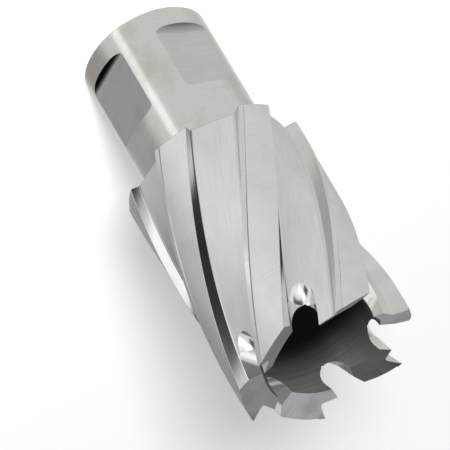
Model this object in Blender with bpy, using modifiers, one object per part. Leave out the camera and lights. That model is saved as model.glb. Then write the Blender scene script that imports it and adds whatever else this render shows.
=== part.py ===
"""Annular cutter of ground high-speed steel with a 19 mm two-flat shank.

The cutter is one piece. It stands on the end of its shank, with the teeth up:
the origin is the centre of the shank's end face and +Z runs to the teeth.
Angles are seen from the cutting end, where the cutter turns anticlockwise.
"""

import math

import bmesh
import bpy
from mathutils import Matrix, Vector

MM = 0.001

# Shank
SHANK_DIAMETER = 19.05 * MM
SHANK_LENGTH = 22.2 * MM
SHANK_CHAMFER = 0.4 * MM
FLAT_ANGLES = (226.0, 316.0)
FLAT_START = 3.4 * MM
FLAT_END = 14.5 * MM
FLAT_DEPTH = 1.12 * MM
PILOT_BORE_DIAMETER = 6.5 * MM
PILOT_BORE_CHAMFER = 0.4 * MM

# Fluted tube
CUT_DIAMETER = 26.6 * MM
BODY_LENGTH = 37.2 * MM
SLUG_BORE_DIAMETER = 18.0 * MM
SLUG_BORE_DEPTH = 29.0 * MM
SLUG_BORE_CORNER = 1.0 * MM
TEETH = 6
LEAD = 178.0 * MM
SHOULDER_PHASE = 56.1

# One land and flute, from the leading edge backwards
LAND_WIDTH = 5.6 * MM
MARGIN_WIDTH = 0.75 * MM
MARGIN_HEIGHT = 0.14 * MM
HEEL_DROP = 0.1 * MM
FLUTE_DEPTH_AT_HEEL = 2.1 * MM
FLUTE_DEPTH_AT_FACE = 2.4 * MM
SHOULDER_DEPTH_SHARE = 0.75
WALL_SLOPE = 0.25 * MM

# Cutting end
RELIEF_RISE = 0.2
RELIEF_INWARD_RISE = 0.4
CORNER_SETBACK = 0.3 * MM
INNER_EDGE_ADVANCE = 3.1 * MM
GULLET_WIDTH = 3.9 * MM
GULLET_HEIGHT = 5.4 * MM
GULLET_TILT = 30.0

# Facets
TWIST_STEPS = 28
LAND_STEPS = 4
FLOOR_STEPS = 4
ROUND_STEPS = 72
ARCH_STEPS = 10
SHARP_ANGLE = 30.0

TOTAL_LENGTH = SHANK_LENGTH + BODY_LENGTH
CUT_RADIUS = CUT_DIAMETER / 2
SHANK_RADIUS = SHANK_DIAMETER / 2
PITCH = 2 * math.pi / TEETH
JOIN_OVERLAP = 2.0 * MM
CUT_MARGIN = 3.0 * MM
CUT_LINE_HEIGHT = TOTAL_LENGTH - CORNER_SETBACK


def clear_scene():
    for item in list(bpy.data.objects):
        bpy.data.objects.remove(item, do_unlink=True)


def new_collection(name):
    collection = bpy.data.collections.new(name)
    bpy.context.scene.collection.children.link(collection)
    return collection


def steel_material():
    material = bpy.data.materials.new("ground high-speed steel")
    material.use_nodes = True
    shader = material.node_tree.nodes["Principled BSDF"]
    shader.inputs["Base Color"].default_value = (0.60, 0.59, 0.57, 1.0)
    shader.inputs["Metallic"].default_value = 1.0
    shader.inputs["Roughness"].default_value = 0.32
    return material


def object_from_bmesh(name, bm, collection):
    bmesh.ops.recalc_face_normals(bm, faces=bm.faces)
    mesh = bpy.data.meshes.new(name)
    bm.to_mesh(mesh)
    bm.free()
    item = bpy.data.objects.new(name, mesh)
    collection.objects.link(item)
    return item


def make_tool(item):
    item.hide_render = True
    item.display_type = "WIRE"
    return item


def polar(radius, angle, z=0.0):
    return Vector((radius * math.cos(angle), radius * math.sin(angle), z))


def turned(name, profile, collection):
    """A solid of revolution from (radius, height) points, top to bottom."""
    bm = bmesh.new()
    verts = [bm.verts.new((radius, 0.0, z)) for radius, z in profile]
    for first, second in zip(verts, verts[1:]):
        bm.edges.new((first, second))
    mesh = bpy.data.meshes.new(name)
    bm.to_mesh(mesh)
    bm.free()
    item = bpy.data.objects.new(name, mesh)
    collection.objects.link(item)
    screw = item.modifiers.new("turn", "SCREW")
    screw.axis = "Z"
    screw.angle = 2 * math.pi
    screw.steps = ROUND_STEPS
    screw.render_steps = ROUND_STEPS
    screw.use_merge_vertices = True
    screw.merge_threshold = 1e-6
    return item


def boolean(item, tool, operation):
    modifier = item.modifiers.new(tool.name, "BOOLEAN")
    modifier.operation = operation
    modifier.solver = "EXACT"
    modifier.object = tool


def twist_at(z):
    """Angle of the first leading edge at height z."""
    return math.radians(SHOULDER_PHASE) + 2 * math.pi * (z - SHANK_LENGTH) / LEAD


def tooth_outline(leading_angle):
    """Points of one land and the flute behind it, clockwise from the edge."""
    land_angle = LAND_WIDTH / CUT_RADIUS
    margin_angle = MARGIN_WIDTH / CUT_RADIUS
    slope_angle = WALL_SLOPE / CUT_RADIUS
    land_radius = CUT_RADIUS - MARGIN_HEIGHT
    points = [polar(CUT_RADIUS, leading_angle)]
    points.append(polar(CUT_RADIUS, leading_angle - margin_angle))
    for step in range(LAND_STEPS + 1):
        share = step / LAND_STEPS
        start = margin_angle + slope_angle / 2
        angle = start + (land_angle - start) * share
        points.append(polar(land_radius - HEEL_DROP * share, leading_angle - angle))
    heel_foot = polar(CUT_RADIUS - FLUTE_DEPTH_AT_HEEL, leading_angle - land_angle - slope_angle)
    face_foot = polar(CUT_RADIUS - FLUTE_DEPTH_AT_FACE, leading_angle - PITCH)
    for step in range(FLOOR_STEPS + 1):
        points.append(heel_foot.lerp(face_foot, step / FLOOR_STEPS))
    return points


def taper_flutes(bm):
    """Makes the flutes shallower towards the shoulder, where they run out."""
    heel_radius = CUT_RADIUS - MARGIN_HEIGHT - HEEL_DROP
    heel_foot_radius = CUT_RADIUS - FLUTE_DEPTH_AT_HEEL
    for vert in bm.verts:
        radius = vert.co.xy.length
        if radius > (heel_radius + heel_foot_radius) / 2:
            continue
        share = (vert.co.z - SHANK_LENGTH) / BODY_LENGTH
        depth_share = SHOULDER_DEPTH_SHARE + (1.0 - SHOULDER_DEPTH_SHARE) * share
        tapered = CUT_RADIUS - (CUT_RADIUS - radius) * depth_share
        vert.co.xy *= tapered / radius


def fluted_body(collection):
    """The whole flute section, extruded along the helix from shoulder to teeth."""
    bm = bmesh.new()
    verts = []
    for tooth in range(TEETH):
        leading_angle = twist_at(SHANK_LENGTH) - tooth * PITCH
        for point in tooth_outline(leading_angle):
            verts.append(bm.verts.new((point.x, point.y, SHANK_LENGTH)))
    section = bm.faces.new(verts)
    bmesh.ops.spin(
        bm,
        geom=[section, *section.edges, *section.verts],
        cent=(0.0, 0.0, 0.0),
        axis=(0.0, 0.0, 1.0),
        dvec=(0.0, 0.0, BODY_LENGTH / TWIST_STEPS),
        angle=2 * math.pi * BODY_LENGTH / LEAD,
        steps=TWIST_STEPS,
        use_duplicate=False,
    )
    taper_flutes(bm)
    return object_from_bmesh("fluted body", bm, collection)


def shank(collection):
    top = SHANK_LENGTH + JOIN_OVERLAP
    profile = [
        (0.0, top),
        (SHANK_RADIUS, top),
        (SHANK_RADIUS, SHANK_CHAMFER),
        (SHANK_RADIUS - SHANK_CHAMFER, 0.0),
        (0.0, 0.0),
    ]
    return make_tool(turned("shank", profile, collection))


def bore_tool(collection):
    """The pilot bore through the shank and the slug bore inside the teeth."""
    slug_radius = SLUG_BORE_DIAMETER / 2
    pilot_radius = PILOT_BORE_DIAMETER / 2
    floor = TOTAL_LENGTH - SLUG_BORE_DEPTH
    profile = [
        (0.0, TOTAL_LENGTH + CUT_MARGIN),
        (slug_radius, TOTAL_LENGTH + CUT_MARGIN),
        (slug_radius, floor + SLUG_BORE_CORNER),
        (slug_radius - SLUG_BORE_CORNER, floor),
        (pilot_radius, floor),
        (pilot_radius, PILOT_BORE_CHAMFER),
        (pilot_radius + PILOT_BORE_CHAMFER + CUT_MARGIN, -CUT_MARGIN),
        (0.0, -CUT_MARGIN),
    ]
    return make_tool(turned("bores", profile, collection))


def flat_tool(angle, collection):
    """A block that mills one clamping flat into the shank."""
    bm = bmesh.new()
    bmesh.ops.create_cube(bm, size=1.0)
    depth = FLAT_DEPTH + CUT_MARGIN
    size = (depth, SHANK_DIAMETER, FLAT_END - FLAT_START)
    bmesh.ops.scale(bm, vec=size, verts=bm.verts)
    centre = SHANK_RADIUS - FLAT_DEPTH + depth / 2
    middle = (FLAT_START + FLAT_END) / 2
    bmesh.ops.translate(bm, vec=(centre, 0.0, middle), verts=bm.verts)
    turn = Matrix.Rotation(math.radians(angle), 4, "Z")
    bmesh.ops.transform(bm, matrix=turn, verts=bm.verts)
    return make_tool(object_from_bmesh(f"flat {angle:.0f}", bm, collection))


def prism(outline, height):
    """A bmesh of a flat outline in XY, extruded along +Z."""
    bm = bmesh.new()
    face = bm.faces.new([bm.verts.new((x, y, 0.0)) for x, y in outline])
    raised = bmesh.ops.extrude_face_region(bm, geom=[face])["geom"]
    verts = [item for item in raised if isinstance(item, bmesh.types.BMVert)]
    bmesh.ops.translate(bm, vec=(0.0, 0.0, height), verts=verts)
    return bm


def relief_tool(tooth, collection):
    """A sector block whose sloped underside grinds one tooth's end relief."""
    reach = CUT_RADIUS + CUT_MARGIN
    half = PITCH / 2
    ahead = INNER_EDGE_ADVANCE / CUT_RADIUS
    corners = [(0.0, 0.0)]
    for angle in (ahead - 1.5 * half, ahead - half / 2, ahead + half / 2):
        edge = polar(reach / math.cos(half / 2), angle)
        corners.append((edge.x, edge.y))
    bm = prism(corners, BODY_LENGTH)
    slope = Matrix.Identity(4)
    slope[2][0] = RELIEF_INWARD_RISE
    slope[2][1] = RELIEF_RISE
    lift = Matrix.Translation((0.0, 0.0, CUT_LINE_HEIGHT - RELIEF_INWARD_RISE * CUT_RADIUS))
    turn = Matrix.Rotation(twist_at(CUT_LINE_HEIGHT) + tooth * PITCH, 4, "Z")
    bmesh.ops.transform(bm, matrix=turn @ lift @ slope, verts=bm.verts)
    return make_tool(object_from_bmesh(f"relief {tooth}", bm, collection))


def gullet_tool(tooth, collection):
    """A round-ended slot through the wall, in front of one inner edge."""
    radius = GULLET_WIDTH / 2
    arch_centre = -GULLET_HEIGHT + radius
    outline = [(0.0, CUT_MARGIN), (0.0, arch_centre)]
    for step in range(1, ARCH_STEPS):
        angle = math.pi * step / ARCH_STEPS
        outline.append((radius - radius * math.cos(angle), arch_centre - radius * math.sin(angle)))
    outline.append((GULLET_WIDTH, arch_centre))
    outline.append((GULLET_WIDTH, CUT_MARGIN))
    bm = prism(outline, CUT_RADIUS)
    wall_middle = (SLUG_BORE_DIAMETER / 2 + CUT_RADIUS) / 2
    ahead = INNER_EDGE_ADVANCE / CUT_RADIUS
    stand = Matrix.Rotation(math.radians(90.0), 4, "Y") @ Matrix.Rotation(math.radians(90.0), 4, "Z")
    centre = Matrix.Translation((-CUT_RADIUS / 2, 0.0, 0.0))
    helix = Matrix.Rotation(-math.atan(2 * math.pi * wall_middle / LEAD), 4, "X")
    tilt = Matrix.Rotation(math.radians(GULLET_TILT), 4, "Y")
    place = Matrix.Translation((wall_middle, 0.0, CUT_LINE_HEIGHT))
    turn = Matrix.Rotation(twist_at(CUT_LINE_HEIGHT) + ahead + tooth * PITCH, 4, "Z")
    bmesh.ops.transform(bm, matrix=turn @ place @ helix @ tilt @ centre @ stand, verts=bm.verts)
    return make_tool(object_from_bmesh(f"gullet {tooth}", bm, collection))


def main():
    clear_scene()
    parts = new_collection("annular cutter")
    tools = new_collection("cutting tools")

    cutter = fluted_body(parts)
    cutter.name = "cutter"
    boolean(cutter, shank(tools), "UNION")
    boolean(cutter, bore_tool(tools), "DIFFERENCE")
    for angle in FLAT_ANGLES:
        boolean(cutter, flat_tool(angle, tools), "DIFFERENCE")
    for tooth in range(TEETH):
        boolean(cutter, gullet_tool(tooth, tools), "DIFFERENCE")
        boolean(cutter, relief_tool(tooth, tools), "DIFFERENCE")
    cutter.data.materials.append(steel_material())
    cutter.data.shade_smooth()
    cutter.data.set_sharp_from_angle(angle=math.radians(SHARP_ANGLE))


main()
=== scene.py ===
"""Studio view of the annular cutter: the ground steel tool, its floor, light and camera.

Lengths are in metres. The cutter stands on its shank at the origin with its teeth up.
Named angles are in degrees unless a comment says radians. They count anticlockwise as
seen from the cutting end, which is the way the cutter turns at work.
"""

import math

import bmesh
import bpy
from mathutils import Matrix, Vector

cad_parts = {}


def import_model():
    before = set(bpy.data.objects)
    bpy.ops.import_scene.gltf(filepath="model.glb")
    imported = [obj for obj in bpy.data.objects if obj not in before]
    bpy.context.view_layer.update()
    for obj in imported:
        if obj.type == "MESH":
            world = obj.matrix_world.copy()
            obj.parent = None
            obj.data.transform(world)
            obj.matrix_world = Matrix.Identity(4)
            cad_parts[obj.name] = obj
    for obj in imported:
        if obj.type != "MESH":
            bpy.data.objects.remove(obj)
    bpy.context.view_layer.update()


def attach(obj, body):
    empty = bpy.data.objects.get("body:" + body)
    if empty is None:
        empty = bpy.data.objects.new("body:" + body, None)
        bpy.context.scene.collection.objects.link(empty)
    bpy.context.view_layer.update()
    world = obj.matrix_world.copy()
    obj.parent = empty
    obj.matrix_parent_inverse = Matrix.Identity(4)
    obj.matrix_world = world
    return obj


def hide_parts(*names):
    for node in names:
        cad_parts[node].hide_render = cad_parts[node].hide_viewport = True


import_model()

MM = 0.001
QUARTER_TURN = math.pi / 2

# Driving sizes, the same as the solid's
SHANK_DIAMETER = 19.05 * MM
SHANK_LENGTH = 22.2 * MM
SHANK_CHAMFER = 0.4 * MM
FLAT_START = 3.4 * MM
FLAT_END = 14.5 * MM
FLAT_DEPTH = 1.12 * MM
PILOT_BORE_DIAMETER = 6.5 * MM
PILOT_BORE_CHAMFER = 0.4 * MM
CUT_DIAMETER = 26.6 * MM
BODY_LENGTH = 37.2 * MM
SLUG_BORE_DIAMETER = 18.0 * MM
SLUG_BORE_DEPTH = 29.0 * MM
SLUG_BORE_CORNER = 1.0 * MM
TEETH = 6
LEAD = 178.0 * MM
SHOULDER_PHASE = 56.1
LAND_WIDTH = 5.6 * MM
MARGIN_WIDTH = 0.75 * MM
MARGIN_HEIGHT = 0.14 * MM
HEEL_DROP = 0.1 * MM
FLUTE_DEPTH_AT_HEEL = 2.1 * MM
FLUTE_DEPTH_AT_FACE = 2.4 * MM
SHOULDER_DEPTH_SHARE = 0.75
WALL_SLOPE = 0.25 * MM
RELIEF_RISE = 0.2
RELIEF_INWARD_RISE = 0.4
CORNER_SETBACK = 0.3 * MM
INNER_EDGE_ADVANCE = 3.1 * MM
GULLET_WIDTH = 3.9 * MM
GULLET_HEIGHT = 5.4 * MM
GULLET_TILT = 30.0

# Angle of each clamping flat, and the zone of its milled ends. The flat at 316 degrees gets a
# darker copy of the end steel, which is painted shade
FLATS = ((226.0, "flat_end"), (316.0, "flat_end_painted_shade"))

# Fine form that the solid leaves out
HEEL_BREAK = 0.05 * MM
HEEL_FOOT_RADIUS = 0.4 * MM
FACE_FOOT_RADIUS = 0.6 * MM
SHOULDER_CHAMFER = 0.13 * MM
BOWL_RADIUS = 12.2 * MM
BOWL_DEPTH = 4.6 * MM
BOWL_SHIFT = 0.2 * MM
BOWL_SIZE = (3.25 * MM, 2.0 * MM, 3.4 * MM)
FLAT_CORNER = 0.9 * MM

# Share of the full size that keeps the fine mesh just inside the solid's box
GRINDING_FIT = 0.9998

# Facets
TWIST_STEPS = 120
MARGIN_STEPS = 3
LAND_STEPS = 14
FLOOR_STEPS = 12
FOOT_STEPS = 5
ROUND_STEPS = 240
ARCH_STEPS = 28
BOWL_FACETS = 72
CORNER_STEPS = 10
SHARP_ANGLE = 24.0

# Reach of a joined solid and of a cutting tool past the surface that they meet
JOIN_OVERLAP = 2.0 * MM
CUT_MARGIN = 3.0 * MM

# Distance below which two points are one
MERGE_DISTANCE = 1e-7

# Lean of a face's normal from which on it is a flat's end and not its floor
END_FACE_LEAN = 0.05

TOTAL_LENGTH = SHANK_LENGTH + BODY_LENGTH
CUT_LINE_HEIGHT = TOTAL_LENGTH - CORNER_SETBACK
BORE_FLOOR_HEIGHT = TOTAL_LENGTH - SLUG_BORE_DEPTH
CUT_RADIUS = CUT_DIAMETER / 2
LAND_RADIUS = CUT_RADIUS - MARGIN_HEIGHT
HEEL_RADIUS = LAND_RADIUS - HEEL_DROP
SHANK_RADIUS = SHANK_DIAMETER / 2
SHANK_END_RADIUS = SHANK_RADIUS - SHANK_CHAMFER
SLUG_BORE_RADIUS = SLUG_BORE_DIAMETER / 2
PILOT_BORE_RADIUS = PILOT_BORE_DIAMETER / 2
WALL_MIDDLE = (SLUG_BORE_RADIUS + CUT_RADIUS) / 2

# In radians
PITCH = 2 * math.pi / TEETH
INNER_EDGE_ANGLE = INNER_EDGE_ADVANCE / CUT_RADIUS

# Camera, fitted to the photograph's outline
CAMERA_AIM = Vector((2.71 * MM, 0.0, 31.36 * MM))
CAMERA_DISTANCE = 838.1 * MM
CAMERA_ELEVATION = 29.88
CAMERA_ROLL = 149.43
CAMERA_LENS = 480.0
CAMERA_SENSOR = 36.0
CAMERA_NEAR = 10.0 * MM

# Light, on the camera's side
LAMP_PLACE = (-0.142, -1.424, 0.741)
LAMP_DIAMETER = 0.26
LAMP_POWER = 28.0
AMBIENT_LEVEL = 0.12

# Soft cards that the steel reflects, and what each gives in the camera's view. A card
# covers those before it, and outside them the studio has the open level.
CARDS = (
    # azimuth, half width, side softness, lowest and highest elevation, softness, level
    (0.0, 180.0, 0.0, 55.0, 90.0, 12.0, 0.85),     # ceiling
    (240.0, 35.0, 20.0, 48.0, 84.0, 8.0, 1.7),     # bright run-outs above the gullets
    (90.0, 45.0, 40.0, -50.0, -10.0, 12.0, 0.85),  # faint shade towards the right
    (15.0, 28.0, 25.0, -75.0, -28.0, 14.0, 0.61),  # grey left flat and shank beside it
    (70.0, 48.0, 10.0, -25.0, -14.0, 5.0, 0.03),   # dark upper right relief
    (70.0, 48.0, 25.0, 10.5, 45.0, 22.0, 0.18),    # dark flat ends and lower right relief
    (201.5, 36.0, 14.0, -3.0, 15.0, 7.0, 0.04),    # dark wall of the second flute
    (283.0, 18.0, 10.0, 9.0, 34.0, 8.0, 1.7),      # bright wall of the leftmost flute
    (325.0, 21.0, 7.0, 3.0, 38.0, 6.0, 0.06),      # dark marks in gullets and run-outs
    (297.5, 4.0, 4.5, -38.0, -26.0, 6.0, 1.85),    # bright stripe along the shank
)
OPEN_LEVEL = 1.05

# Floor: a little below the shank's end, white to the camera and pale to other rays
FLOOR_HALF_WIDTH = 3.0
FLOOR_GAP = 0.03 * MM
FLOOR_GLOW = 0.43
FLOOR_WHITE = (1.0, 1.0, 1.0, 1.0)
FLOOR_PALE = (0.8, 0.8, 0.8, 1.0)

# Ground steel. A noise is given by scale, detail and roughness, and a range by the two
# values between which one look fades into the other.
STAIN_NOISE = (170.0, 4.0, 0.6)
STAIN_RANGE = (0.42, 0.72)
STAIN_STRENGTH = 0.8
GRAIN_NOISE = (6000.0, 2.0, 0.5)
GRAIN_SHARE = 0.4
LINE_DETAIL = 3.0
LINE_ROUGHNESS = 0.65
LINE_RANGE = (0.3, 0.7)
LINE_SHADE = 0.7
LINE_HEIGHT = 0.006 * MM
GLOSS_SPREAD = 0.12
# Edges: the bevel rounds their shading, and a painted highlight lightens their colour
EDGE_ROUND_RADIUS = 0.035 * MM
EDGE_ROUND_SAMPLES = 6
EDGE_HIGHLIGHT_RANGE = (0.995, 0.9)
EDGE_HIGHLIGHT_COLOUR = (0.9, 0.9, 0.89)
# Colour painted as shade over a band of heights
PAINTED_SHADE_COLOUR = (0.004, 0.004, 0.004)

# Factors on the way along the ground lines, which draw the noise out into lines, and
# the slant of the lines that run outwards
LINE_STRETCH = 0.02
CROSS_STRETCH = 0.03
CROSS_SLANT = 0.4

PALE = (0.675, 0.675, 0.66)
DULL = (0.62, 0.60, 0.565)

# The steel of each zone of the surface, in the order of the material slots
STEELS = {
    "land": dict(
        colour=PALE, stain=DULL, roughness=0.46, marks="round",
        edge_highlight=0.08, contrast=0.3,
    ),
    "margin": dict(
        colour=(0.56, 0.56, 0.55), stain=DULL, roughness=0.26, marks="round",
        edge_highlight=0.4,
    ),
    "step": dict(
        colour=(0.48, 0.48, 0.47), stain=DULL, roughness=0.40, marks="round",
        edge_highlight=0.0,
    ),
    "flute": dict(
        colour=PALE, stain=(0.63, 0.62, 0.595), roughness=0.44, marks="helix",
        contrast=0.42,
    ),
    # heel: painted shade darkens the flute walls towards the shoulder
    "heel": dict(
        colour=(0.58, 0.58, 0.57), stain=(0.50, 0.49, 0.47), roughness=0.15, marks="helix",
        line_depth=0.12, edge_highlight=0.08,
        painted_shade_heights=(SHANK_LENGTH - 3.5 * MM, SHANK_LENGTH + 4.5 * MM),
    ),
    "face": dict(
        colour=(0.55, 0.55, 0.53), stain=(0.50, 0.49, 0.46), roughness=0.30, marks="helix",
        edge_highlight=0.12,
    ),
    "shank": dict(
        colour=(0.54, 0.53, 0.51), stain=(0.44, 0.41, 0.37), roughness=0.17, marks="round",
        line_depth=0.12,
    ),
    "flat": dict(
        colour=(0.48, 0.47, 0.455), stain=(0.43, 0.41, 0.385), roughness=0.24, marks="milled",
        line_scale=7000.0, line_depth=0.2,
    ),
    # flat_end: painted shade darkens the lower ends of the flats
    "flat_end": dict(
        colour=(0.62, 0.61, 0.59), stain=(0.56, 0.54, 0.50), roughness=0.72, marks="cross",
        edge_highlight=0.05, painted_shade_heights=(FLAT_START - 0.9 * MM, FLAT_START + 0.9 * MM),
    ),
    # bore: its dark colour, darker towards the floor, and its dimmed grazing reflections are
    # painted shade
    "bore": dict(
        colour=(0.14, 0.14, 0.135), stain=(0.105, 0.10, 0.095), roughness=0.34, marks="round",
        line_scale=2600.0, line_depth=0.4, edge_highlight=0.1, contrast=1.0, grazing=0.5,
        painted_shade_heights=(48.5 * MM, 57.0 * MM),
    ),
    "gullet": dict(
        colour=(0.66, 0.65, 0.63), stain=(0.48, 0.435, 0.37), roughness=0.33, marks="cross",
        line_depth=0.12, edge_highlight=0.15,
    ),
    "bowl": dict(
        colour=(0.80, 0.80, 0.79), stain=(0.66, 0.63, 0.58), roughness=0.25, marks="cross",
        edge_highlight=0.15,
    ),
    # relief: painted shade darkens the tooth tips
    "relief": dict(
        colour=(0.47, 0.485, 0.495), stain=(0.28, 0.28, 0.27), roughness=0.30, marks="cross",
        line_scale=3500.0, edge_highlight=0.3, contrast=0.6,
        painted_shade_heights=(CUT_LINE_HEIGHT + 0.9 * MM, CUT_LINE_HEIGHT - 0.8 * MM),
    ),
    # shoulder: its dark colour is painted shade along the line where the shank meets the body
    "shoulder": dict(
        colour=(0.30, 0.30, 0.29), stain=(0.24, 0.235, 0.22), roughness=0.34, marks="round",
        edge_highlight=0.0,
    ),
    # Darker copy of the flat-end steel: painted shade on the ends of the flat at 316 degrees
    "flat_end_painted_shade": dict(
        colour=(0.50, 0.49, 0.47), stain=(0.44, 0.42, 0.40), roughness=0.30, marks="cross",
        edge_highlight=0.05, painted_shade_heights=(FLAT_START + 0.1 * MM, FLAT_START + 1.0 * MM),
    ),
    # bore_floor: darker still, painted shade at the bore's floor and in the pilot hole
    "bore_floor": dict(
        colour=(0.05, 0.05, 0.048), stain=(0.035, 0.034, 0.032), roughness=0.38, marks="round",
        line_scale=3000.0, line_depth=0.4, edge_highlight=0.1, grazing=0.12,
    ),
}
ZONES = tuple(STEELS)

# First input, second input and output of a mix node, for each kind of data
MIX_SOCKETS = {"FLOAT": (2, 3, 0), "RGBA": (6, 7, 2)}


# Materials

class Nodes:
    """Short calls for building a node tree. A value may be a number or another node's output."""

    def __init__(self, tree):
        self.tree = tree
        tree.nodes.clear()

    def new(self, kind, **settings):
        node = self.tree.nodes.new(kind)
        for key, value in settings.items():
            setattr(node, key, value)
        return node

    def link(self, source, target):
        self.tree.links.new(source, target)

    def put(self, socket, value):
        if isinstance(value, bpy.types.NodeSocket):
            self.link(value, socket)
        else:
            socket.default_value = value

    def math(self, operation, first, second=0.0):
        node = self.new("ShaderNodeMath", operation=operation)
        self.put(node.inputs[0], first)
        self.put(node.inputs[1], second)
        return node.outputs[0]

    def multiply(self, first, second):
        return self.math("MULTIPLY", first, second)

    def add(self, first, second):
        return self.math("ADD", first, second)

    def dot(self, first, second):
        node = self.new("ShaderNodeVectorMath", operation="DOT_PRODUCT")
        self.put(node.inputs[0], first)
        self.put(node.inputs[1], second)
        return node.outputs["Value"]

    def split(self, vector):
        node = self.new("ShaderNodeSeparateXYZ")
        self.link(vector, node.inputs[0])
        return node.outputs

    def join(self, x, y, z):
        node = self.new("ShaderNodeCombineXYZ")
        for socket, value in zip(node.inputs, (x, y, z)):
            self.put(socket, value)
        return node.outputs[0]

    def ramp(self, value, low, high, to_high=1.0):
        """0 at low, to_high at high, and a smooth step between them."""
        node = self.new("ShaderNodeMapRange", interpolation_type="SMOOTHSTEP")
        names = ("Value", "From Min", "From Max", "To Min", "To Max")
        for name, item in zip(names, (value, low, high, 0.0, to_high)):
            self.put(node.inputs[name], item)
        return node.outputs["Result"]

    def mix(self, kind, share, first, second):
        node = self.new("ShaderNodeMix", data_type=kind)
        first_input, second_input, result = MIX_SOCKETS[kind]
        self.put(node.inputs["Factor"], share)
        self.put(node.inputs[first_input], first)
        self.put(node.inputs[second_input], second)
        return node.outputs[result]

    def noise(self, vector, scale, detail, rough):
        node = self.new("ShaderNodeTexNoise")
        self.put(node.inputs["Vector"], vector)
        self.put(node.inputs["Scale"], scale)
        self.put(node.inputs["Detail"], detail)
        self.put(node.inputs["Roughness"], rough)
        return node.outputs["Fac"]


def opaque(colour):
    return (*colour, 1.0)


def mark_vector(nodes, marks, place):
    """Coordinates whose noise runs as fine lines along the way the steel was ground.

    round is about the axis on any face, milled across a flat, helix along the flutes,
    and cross outwards from the axis.
    """
    x, y, z = nodes.split(place)
    angle = nodes.math("ARCTAN2", y, x)
    radius = nodes.math("SQRT", nodes.add(nodes.multiply(x, x), nodes.multiply(y, y)))
    if marks in ("round", "milled"):
        along = nodes.multiply(angle, SHANK_RADIUS * LINE_STRETCH)
        return nodes.join(along, 0.0, nodes.add(z, radius) if marks == "round" else z)
    if marks == "helix":
        turn = nodes.multiply(z, 2 * math.pi / LEAD)
        across = nodes.multiply(nodes.math("SUBTRACT", angle, turn), CUT_RADIUS)
        return nodes.join(across, nodes.multiply(z, LINE_STRETCH), 0.0)
    across = nodes.multiply(angle, CUT_RADIUS)
    slanted = nodes.add(across, nodes.multiply(radius, CROSS_SLANT))
    return nodes.join(slanted, nodes.multiply(radius, CROSS_STRETCH), 0.0)


def steel(name, colour, stain, roughness, marks, line_scale=9000.0, line_depth=0.25,
          contrast=0.22, edge_highlight=0.35, painted_shade_heights=None, grazing=1.0):
    """Ground steel: fine lines, faint stains, a painted highlight on the edges and, where given,
    painted shade.

    marks is the way the lines run, and grazing the level of reflections at a flat angle.
    The highlight strength lightens the edges with a painted highlight. The shade heights are
    the height where the steel is painted dark as shade, and the height where it keeps its
    own colour.
    """
    material = bpy.data.materials.new(f"steel_{name}")
    material.use_nodes = True
    nodes = Nodes(material.node_tree)
    output = nodes.new("ShaderNodeOutputMaterial")
    shader = nodes.new("ShaderNodeBsdfPrincipled")
    nodes.link(shader.outputs[0], output.inputs[0])
    shader.inputs["Metallic"].default_value = 1.0
    shader.inputs["Specular Tint"].default_value = opaque((grazing, grazing, grazing))

    place = nodes.new("ShaderNodeTexCoord").outputs["Object"]
    lines = nodes.noise(
        mark_vector(nodes, marks, place), line_scale, LINE_DETAIL, LINE_ROUGHNESS)
    stains = nodes.noise(place, *STAIN_NOISE)
    grain = nodes.noise(place, *GRAIN_NOISE)

    bevel = nodes.new("ShaderNodeBevel", samples=EDGE_ROUND_SAMPLES)
    bevel.inputs["Radius"].default_value = EDGE_ROUND_RADIUS
    normal = nodes.new("ShaderNodeNewGeometry").outputs["Normal"]
    bright = nodes.ramp(nodes.dot(bevel.outputs[0], normal), *EDGE_HIGHLIGHT_RANGE, edge_highlight)

    stained = nodes.mix(
        "RGBA", nodes.ramp(stains, *STAIN_RANGE, STAIN_STRENGTH), opaque(colour), opaque(stain))
    line_colour = opaque(level * LINE_SHADE for level in colour)
    seen = nodes.mix("RGBA", nodes.ramp(lines, *LINE_RANGE, contrast), stained, line_colour)
    # Painted shade: the colour darkens on one side of a band of heights
    if painted_shade_heights is not None:
        unshaded = nodes.ramp(nodes.split(place)[2], *painted_shade_heights)
        seen = nodes.mix("RGBA", unshaded, opaque(PAINTED_SHADE_COLOUR), seen)
    # Painted highlight: the edges are lightened towards a pale colour
    seen = nodes.mix("RGBA", bright, seen, opaque(EDGE_HIGHLIGHT_COLOUR))
    nodes.link(seen, shader.inputs["Base Color"])

    rough = nodes.add(roughness - GLOSS_SPREAD / 2, nodes.multiply(lines, GLOSS_SPREAD))
    nodes.link(rough, shader.inputs["Roughness"])

    bump = nodes.new("ShaderNodeBump")
    bump.inputs["Strength"].default_value = line_depth
    bump.inputs["Distance"].default_value = LINE_HEIGHT
    nodes.link(nodes.add(lines, nodes.multiply(grain, GRAIN_SHARE)), bump.inputs["Height"])
    nodes.link(bevel.outputs[0], bump.inputs["Normal"])
    nodes.link(bump.outputs[0], shader.inputs["Normal"])
    return material


MATERIALS = [steel(name, **settings) for name, settings in STEELS.items()]


# Meshes

def zone(name):
    return ZONES.index(name)


def polar(radius, angle):
    return Vector((radius * math.cos(angle), radius * math.sin(angle), 0.0))


def mesh_from_bmesh(name, bm):
    bmesh.ops.recalc_face_normals(bm, faces=bm.faces)
    mesh = bpy.data.meshes.new(name)
    bm.to_mesh(mesh)
    bm.free()
    return mesh


def new_object(name, mesh, zone_name=None):
    """A linked object with all steels. With a zone's name, every face gets that steel."""
    if zone_name is not None:
        for face in mesh.polygons:
            face.material_index = zone(zone_name)
    for material in MATERIALS:
        mesh.materials.append(material)
    item = bpy.data.objects.new(name, mesh)
    bpy.context.scene.collection.objects.link(item)
    return item


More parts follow.
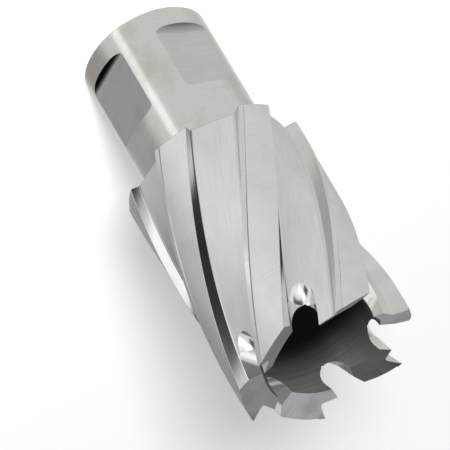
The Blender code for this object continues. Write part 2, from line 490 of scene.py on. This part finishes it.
def prism(outline, height):
    """A bmesh of a flat outline in XY, extruded along +Z."""
    bm = bmesh.new()
    face = bm.faces.new([bm.verts.new((x, y, 0.0)) for x, y in outline])
    raised = bmesh.ops.extrude_face_region(bm, geom=[face])["geom"]
    verts = [item for item in raised if isinstance(item, bmesh.types.BMVert)]
    bmesh.ops.translate(bm, vec=(0.0, 0.0, height), verts=verts)
    return bm


def turned(name, profile, zone_name):
    """A solid of revolution from (radius, height) points, top to bottom."""
    bm = bmesh.new()
    verts = [bm.verts.new((radius, 0.0, z)) for radius, z in profile]
    edges = [bm.edges.new(pair) for pair in zip(verts, verts[1:])]
    bmesh.ops.spin(
        bm,
        geom=[*verts, *edges],
        cent=(0.0, 0.0, 0.0),
        axis=(0.0, 0.0, 1.0),
        angle=2 * math.pi,
        steps=ROUND_STEPS,
        use_merge=True,
        use_duplicate=False,
    )
    bmesh.ops.remove_doubles(bm, verts=bm.verts, dist=MERGE_DISTANCE)
    bmesh.ops.dissolve_degenerate(bm, edges=bm.edges, dist=MERGE_DISTANCE)
    return new_object(name, mesh_from_bmesh(name, bm), zone_name)


# The fluted tube

def twist_at(z):
    """Angle of the first leading edge at height z, in radians."""
    return math.radians(SHOULDER_PHASE) + 2 * math.pi * (z - SHANK_LENGTH) / LEAD


def rounded_corner(before, corner, after, radius, steps):
    """Points of an arc that is tangent to both sides of a corner."""
    first = (before - corner).normalized()
    second = (after - corner).normalized()
    half = first.angle(second) / 2
    run = radius / math.tan(half)
    centre = corner + (first + second).normalized() * (radius / math.sin(half))
    start = corner + first * run - centre
    end = corner + second * run - centre
    sweep = start.angle(end)
    points = []
    for step in range(steps + 1):
        share = step / steps
        blend = start * math.sin((1 - share) * sweep) + end * math.sin(share * sweep)
        points.append(centre + blend / math.sin(sweep))
    return points


def tooth_outline():
    """Points and zones of one land and the flute behind it, from the leading edge."""
    land_angle = LAND_WIDTH / CUT_RADIUS
    margin_angle = MARGIN_WIDTH / CUT_RADIUS
    slope_angle = WALL_SLOPE / CUT_RADIUS
    break_angle = HEEL_BREAK / CUT_RADIUS
    points = []
    zones = []

    def add(point, zone_name):
        points.append(point)
        zones.append(zone(zone_name))

    for step in range(MARGIN_STEPS):
        add(polar(CUT_RADIUS, -margin_angle * step / MARGIN_STEPS), "margin")
    add(polar(CUT_RADIUS, -margin_angle), "step")
    land_start = margin_angle + slope_angle / 2
    for step in range(LAND_STEPS + 1):
        share = step / LAND_STEPS
        angle = land_start + (land_angle - break_angle - land_start) * share
        add(polar(LAND_RADIUS - HEEL_DROP * share, -angle), "land")
    heel_top = polar(HEEL_RADIUS - HEEL_BREAK, -land_angle)
    heel_foot = polar(CUT_RADIUS - FLUTE_DEPTH_AT_HEEL, -land_angle - slope_angle)
    face_foot = polar(CUT_RADIUS - FLUTE_DEPTH_AT_FACE, -PITCH)
    next_edge = polar(CUT_RADIUS, -PITCH)
    heel_arc = rounded_corner(heel_top, heel_foot, face_foot, HEEL_FOOT_RADIUS, FOOT_STEPS)
    face_arc = rounded_corner(heel_foot, face_foot, next_edge, FACE_FOOT_RADIUS, FOOT_STEPS)
    for point in (heel_top, *heel_arc[:-1]):
        add(point, "heel")
    for step in range(FLOOR_STEPS):
        add(heel_arc[-1].lerp(face_arc[0], step / FLOOR_STEPS), "flute")
    for point in face_arc:
        add(point, "face")
    return points, zones


def tapered(point, share):
    """A section point with its flute depth as it is at this share of the body."""
    depth_share = SHOULDER_DEPTH_SHARE + (1.0 - SHOULDER_DEPTH_SHARE) * share
    radius = point.xy.length
    on_the_land = radius > HEEL_RADIUS - 2 * HEEL_BREAK
    if on_the_land:
        return point
    new_radius = CUT_RADIUS - (CUT_RADIUS - radius) * depth_share
    return point * (new_radius / radius)


def section_ring(points, z):
    """The points of the whole section at height z, turned by the helix there."""
    shaped = [tapered(point, (z - SHANK_LENGTH) / BODY_LENGTH) for point in points]
    if z == SHANK_LENGTH:
        shaped = [point * (1.0 - SHOULDER_CHAMFER / CUT_RADIUS) for point in shaped]
    ring = []
    for tooth in range(TEETH):
        turn = Matrix.Rotation(twist_at(z) - tooth * PITCH, 3, "Z")
        for point in shaped:
            place = turn @ point
            ring.append((place.x, place.y, z))
    return ring


def fluted_body():
    """The body as rings of the section up the helix, closed at both ends."""
    points, point_zones = tooth_outline()
    heights = [SHANK_LENGTH, SHANK_LENGTH + SHOULDER_CHAMFER]
    for step in range(1, TWIST_STEPS + 1):
        heights.append(SHANK_LENGTH + BODY_LENGTH * step / TWIST_STEPS)
    verts = [vert for z in heights for vert in section_ring(points, z)]
    count = len(points) * TEETH
    top = len(verts) - count
    faces = []
    zones = []
    for low in range(0, top, count):
        high = low + count
        for index in range(count):
            after = (index + 1) % count
            faces.append((low + after, low + index, high + index, high + after))
            zones.append(point_zones[index % len(points)] if low else zone("shoulder"))
    faces.append(tuple(range(count)))
    zones.append(zone("shoulder"))
    faces.append(tuple(reversed(range(top, len(verts)))))
    zones.append(zone("relief"))
    mesh = bpy.data.meshes.new("cutter_body")
    mesh.from_pydata(verts, [], faces)
    for face, index in zip(mesh.polygons, zones):
        face.material_index = index
    return new_object("cutter_body", mesh)


# The shank, and the tools that cut the body

def shank():
    top = SHANK_LENGTH + JOIN_OVERLAP
    profile = [
        (0.0, top),
        (SHANK_RADIUS, top),
        (SHANK_RADIUS, SHANK_CHAMFER),
        (SHANK_END_RADIUS, 0.0),
        (0.0, 0.0),
    ]
    return turned("shank", profile, "shank")


def bore_tool():
    """The slug bore with a bevelled floor corner, and the chamfered pilot hole below it."""
    corner_height = BORE_FLOOR_HEIGHT + SLUG_BORE_CORNER
    profile = [
        (0.0, TOTAL_LENGTH + CUT_MARGIN),
        (SLUG_BORE_RADIUS, TOTAL_LENGTH + CUT_MARGIN),
        (SLUG_BORE_RADIUS, corner_height),
        (SLUG_BORE_RADIUS - SLUG_BORE_CORNER, BORE_FLOOR_HEIGHT),
        (PILOT_BORE_RADIUS, BORE_FLOOR_HEIGHT),
        (PILOT_BORE_RADIUS, PILOT_BORE_CHAMFER),
        (PILOT_BORE_RADIUS + PILOT_BORE_CHAMFER + CUT_MARGIN, -CUT_MARGIN),
        (0.0, -CUT_MARGIN),
    ]
    tool = turned("bores", profile, "bore")
    for face in tool.data.polygons:
        if face.center.z < corner_height:
            face.material_index = zone("bore_floor")
    return tool


def flat_tool(angle, end_zone):
    """A form cutter with rounded corners that mills one clamping flat."""
    floor = SHANK_RADIUS - FLAT_DEPTH
    top = SHANK_RADIUS + CUT_MARGIN
    outline = [(top, FLAT_START), (top, FLAT_END)]
    corners = ((FLAT_END - FLAT_CORNER, 0.0), (FLAT_START + FLAT_CORNER, QUARTER_TURN))
    for centre_height, start in corners:
        for step in range(CORNER_STEPS + 1):
            arc = start + QUARTER_TURN * step / CORNER_STEPS
            outline.append((
                floor + FLAT_CORNER - FLAT_CORNER * math.sin(arc),
                centre_height + FLAT_CORNER * math.cos(arc),
            ))
    bm = prism(outline, SHANK_DIAMETER)
    bmesh.ops.recalc_face_normals(bm, faces=bm.faces)
    for face in bm.faces:
        is_end = abs(face.normal.y) > END_FACE_LEAN
        face.material_index = zone(end_zone) if is_end else zone("flat")
    stand = Matrix.Rotation(QUARTER_TURN, 4, "X")
    centre = Matrix.Translation((0.0, SHANK_RADIUS, 0.0))
    turn = Matrix.Rotation(math.radians(angle), 4, "Z")
    bmesh.ops.transform(bm, matrix=turn @ centre @ stand, verts=bm.verts)
    return new_object(f"flat_{angle:.0f}", mesh_from_bmesh("flat", bm))


def relief_tool(tooth):
    """A block over one pitch, whose sloped underside grinds one tooth's end relief."""
    half = PITCH / 2
    reach = (CUT_RADIUS + CUT_MARGIN) / math.cos(half / 2)
    corners = [(0.0, 0.0)]
    for halves in (-1.5, -0.5, 0.5):
        corners.append(polar(reach, INNER_EDGE_ANGLE + halves * half).xy)
    bm = prism(corners, BODY_LENGTH)
    slope = Matrix.Identity(4)
    slope[2][0] = RELIEF_INWARD_RISE
    slope[2][1] = RELIEF_RISE
    lift = Matrix.Translation((0.0, 0.0, CUT_LINE_HEIGHT - RELIEF_INWARD_RISE * CUT_RADIUS))
    turn = Matrix.Rotation(twist_at(CUT_LINE_HEIGHT) + tooth * PITCH, 4, "Z")
    bmesh.ops.transform(bm, matrix=turn @ lift @ slope, verts=bm.verts)
    return new_object(f"relief_{tooth}", mesh_from_bmesh("relief", bm), "relief")


def at_inner_edge(tooth):
    """A frame in the wall at one inner edge, with +X outwards and +Z up the helix."""
    turn = twist_at(CUT_LINE_HEIGHT) + INNER_EDGE_ANGLE + tooth * PITCH
    place = Matrix.Translation((WALL_MIDDLE, 0.0, CUT_LINE_HEIGHT))
    helix = Matrix.Rotation(-math.atan(2 * math.pi * WALL_MIDDLE / LEAD), 4, "X")
    return Matrix.Rotation(turn, 4, "Z") @ place @ helix


def gullet_tool(tooth):
    """A round-ended slot through the wall, in front of one inner edge."""
    radius = GULLET_WIDTH / 2
    arch_centre = -GULLET_HEIGHT + radius
    outline = [(0.0, CUT_MARGIN), (0.0, arch_centre)]
    for step in range(1, ARCH_STEPS):
        angle = math.pi * step / ARCH_STEPS
        outline.append((
            radius - radius * math.cos(angle),
            arch_centre - radius * math.sin(angle),
        ))
    outline += [(GULLET_WIDTH, arch_centre), (GULLET_WIDTH, CUT_MARGIN)]
    bm = prism(outline, CUT_RADIUS)
    stand = Matrix.Rotation(QUARTER_TURN, 4, "Y") @ Matrix.Rotation(QUARTER_TURN, 4, "Z")
    centre = Matrix.Translation((-CUT_RADIUS / 2, 0.0, 0.0))
    tilt = Matrix.Rotation(math.radians(GULLET_TILT), 4, "Y")
    matrix = at_inner_edge(tooth) @ tilt @ centre @ stand
    bmesh.ops.transform(bm, matrix=matrix, verts=bm.verts)
    return new_object(f"gullet_{tooth}", mesh_from_bmesh("gullet", bm), "gullet")


def bowl_tool(tooth):
    """The round run-out of the gullet's grinding wheel, above the arch in the flute."""
    bm = bmesh.new()
    bmesh.ops.create_uvsphere(
        bm, u_segments=BOWL_FACETS, v_segments=BOWL_FACETS // 2, radius=1.0)
    bmesh.ops.scale(bm, vec=BOWL_SIZE, verts=bm.verts)
    across = GULLET_WIDTH / 2 - BOWL_SHIFT
    centre = Matrix.Translation((BOWL_RADIUS - WALL_MIDDLE, across, -BOWL_DEPTH))
    bmesh.ops.transform(bm, matrix=at_inner_edge(tooth) @ centre, verts=bm.verts)
    return new_object(f"bowl_{tooth}", mesh_from_bmesh("bowl", bm), "bowl")


def combine(item, tool, operation):
    modifier = item.modifiers.new(tool.name, "BOOLEAN")
    modifier.operation = operation
    modifier.solver = "EXACT"
    modifier.object = tool


def ground_cutter():
    """The whole cutter as one fine mesh."""
    body = fluted_body()
    stem = shank()
    combine(body, stem, "UNION")
    tools = [bore_tool(), *(flat_tool(*flat) for flat in FLATS)]
    for tooth in range(TEETH):
        tools += [gullet_tool(tooth), bowl_tool(tooth), relief_tool(tooth)]
    for tool in tools:
        combine(body, tool, "DIFFERENCE")
    graph = bpy.context.evaluated_depsgraph_get()
    mesh = bpy.data.meshes.new_from_object(body.evaluated_get(graph))
    mesh.name = "ground_cutter"
    for item in (body, stem, *tools):
        bpy.data.objects.remove(item, do_unlink=True)
    item = bpy.data.objects.new("ground_cutter", mesh)
    bpy.context.scene.collection.objects.link(item)
    mesh.transform(Matrix.Scale(GRINDING_FIT, 4))
    mesh.shade_smooth()
    mesh.set_sharp_from_angle(angle=math.radians(SHARP_ANGLE))
    item.visible_glossy = False
    return item


# Stage

def sine(degrees):
    return math.sin(math.radians(degrees))


def cosine(degrees):
    return math.cos(math.radians(degrees))


def card_mask(nodes, direction, azimuth, half_width, side_softness, low, high, softness):
    """1 inside a card and 0 outside it, with soft edges, by the way a ray leaves."""
    height = nodes.split(direction)[2]
    mask = nodes.ramp(height, sine(low - softness), sine(low))
    if high + softness < 90.0:
        below = nodes.ramp(height, sine(high + softness), sine(high))
        mask = nodes.multiply(mask, below)
    if half_width < 180.0:
        flat = nodes.new("ShaderNodeVectorMath", operation="MULTIPLY")
        nodes.link(direction, flat.inputs[0])
        flat.inputs[1].default_value = (1.0, 1.0, 0.0)
        level = nodes.new("ShaderNodeVectorMath", operation="NORMALIZE")
        nodes.link(flat.outputs[0], level.inputs[0])
        facing = nodes.dot(level.outputs[0], (cosine(azimuth), sine(azimuth), 0.0))
        beside = nodes.ramp(facing, cosine(half_width + side_softness), cosine(half_width))
        mask = nodes.multiply(mask, beside)
    return mask


def world():
    """White to the camera, the studio of cards to glossy rays, and a dim level to others."""
    item = bpy.data.worlds.new("studio")
    bpy.context.scene.world = item
    item.use_nodes = True
    nodes = Nodes(item.node_tree)
    output = nodes.new("ShaderNodeOutputWorld")
    direction = nodes.new("ShaderNodeTexCoord").outputs["Generated"]
    studio = OPEN_LEVEL
    for *place, level in CARDS:
        studio = nodes.mix("FLOAT", card_mask(nodes, direction, *place), studio, level)
    light = nodes.new("ShaderNodeLightPath")
    strength = nodes.mix("FLOAT", light.outputs["Is Glossy Ray"], AMBIENT_LEVEL, studio)
    strength = nodes.mix("FLOAT", light.outputs["Is Camera Ray"], strength, 1.0)
    background = nodes.new("ShaderNodeBackground")
    background.inputs["Color"].default_value = (1.0, 1.0, 1.0, 1.0)
    nodes.link(strength, background.inputs["Strength"])
    nodes.link(background.outputs[0], output.inputs[0])


def floor_material():
    """Diffuse with a glow for the camera, and clear to glossy rays, which see the studio."""
    material = bpy.data.materials.new("pale_floor")
    material.use_nodes = True
    nodes = Nodes(material.node_tree)
    output = nodes.new("ShaderNodeOutputMaterial")
    light = nodes.new("ShaderNodeLightPath")
    camera_ray = light.outputs["Is Camera Ray"]
    diffuse = nodes.new("ShaderNodeBsdfDiffuse")
    nodes.link(nodes.mix("RGBA", camera_ray, FLOOR_PALE, FLOOR_WHITE), diffuse.inputs["Color"])

    # No glow under the shank, where it would shine up through the pilot hole
    distance = nodes.new("ShaderNodeVectorMath", operation="LENGTH")
    nodes.link(nodes.new("ShaderNodeTexCoord").outputs["Object"], distance.inputs[0])
    beside_shank = nodes.math("GREATER_THAN", distance.outputs["Value"], SHANK_END_RADIUS)
    glow = nodes.new("ShaderNodeEmission")
    seen_glow = nodes.multiply(camera_ray, FLOOR_GLOW)
    nodes.link(nodes.multiply(seen_glow, beside_shank), glow.inputs["Strength"])

    lit = nodes.new("ShaderNodeAddShader")
    nodes.link(diffuse.outputs[0], lit.inputs[0])
    nodes.link(glow.outputs[0], lit.inputs[1])
    clear = nodes.new("ShaderNodeBsdfTransparent")
    either = nodes.new("ShaderNodeMixShader")
    nodes.link(light.outputs["Is Glossy Ray"], either.inputs[0])
    nodes.link(lit.outputs[0], either.inputs[1])
    nodes.link(clear.outputs[0], either.inputs[2])
    nodes.link(either.outputs[0], output.inputs[0])
    return material


def studio_floor():
    bm = bmesh.new()
    bmesh.ops.create_grid(bm, x_segments=2, y_segments=2, size=FLOOR_HALF_WIDTH)
    mesh = mesh_from_bmesh("studio_floor", bm)
    mesh.materials.append(floor_material())
    item = bpy.data.objects.new("studio_floor", mesh)
    item.location.z = -FLOOR_GAP
    bpy.context.scene.collection.objects.link(item)


def lamp():
    """A soft disk aimed at the cutter's middle, which throws its shadow on the floor."""
    data = bpy.data.lights.new("key", "AREA")
    data.shape = "DISK"
    data.size = LAMP_DIAMETER
    data.energy = LAMP_POWER
    item = bpy.data.objects.new("key", data)
    bpy.context.scene.collection.objects.link(item)
    item.location = LAMP_PLACE
    aim = Vector((0.0, 0.0, TOTAL_LENGTH / 2)) - item.location
    item.rotation_euler = aim.to_track_quat("-Z", "Y").to_euler()
    item.visible_glossy = False


def camera():
    data = bpy.data.cameras.new("camera")
    data.lens = CAMERA_LENS
    data.sensor_width = CAMERA_SENSOR
    data.clip_start = CAMERA_NEAR
    item = bpy.data.objects.new("camera", data)
    bpy.context.scene.collection.objects.link(item)
    level = Matrix.Rotation(math.radians(90.0 - CAMERA_ELEVATION), 4, "X")
    roll = Matrix.Rotation(math.radians(CAMERA_ROLL), 4, "Z")
    back = Matrix.Translation((0.0, 0.0, CAMERA_DISTANCE))
    item.matrix_world = Matrix.Translation(CAMERA_AIM) @ level @ roll @ back
    bpy.context.scene.camera = item


cutter = ground_cutter()
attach(cutter, "root")
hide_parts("cutter")

world()
studio_floor()
lamp()
camera()
bpy.context.scene.view_settings.view_transform = "Standard"
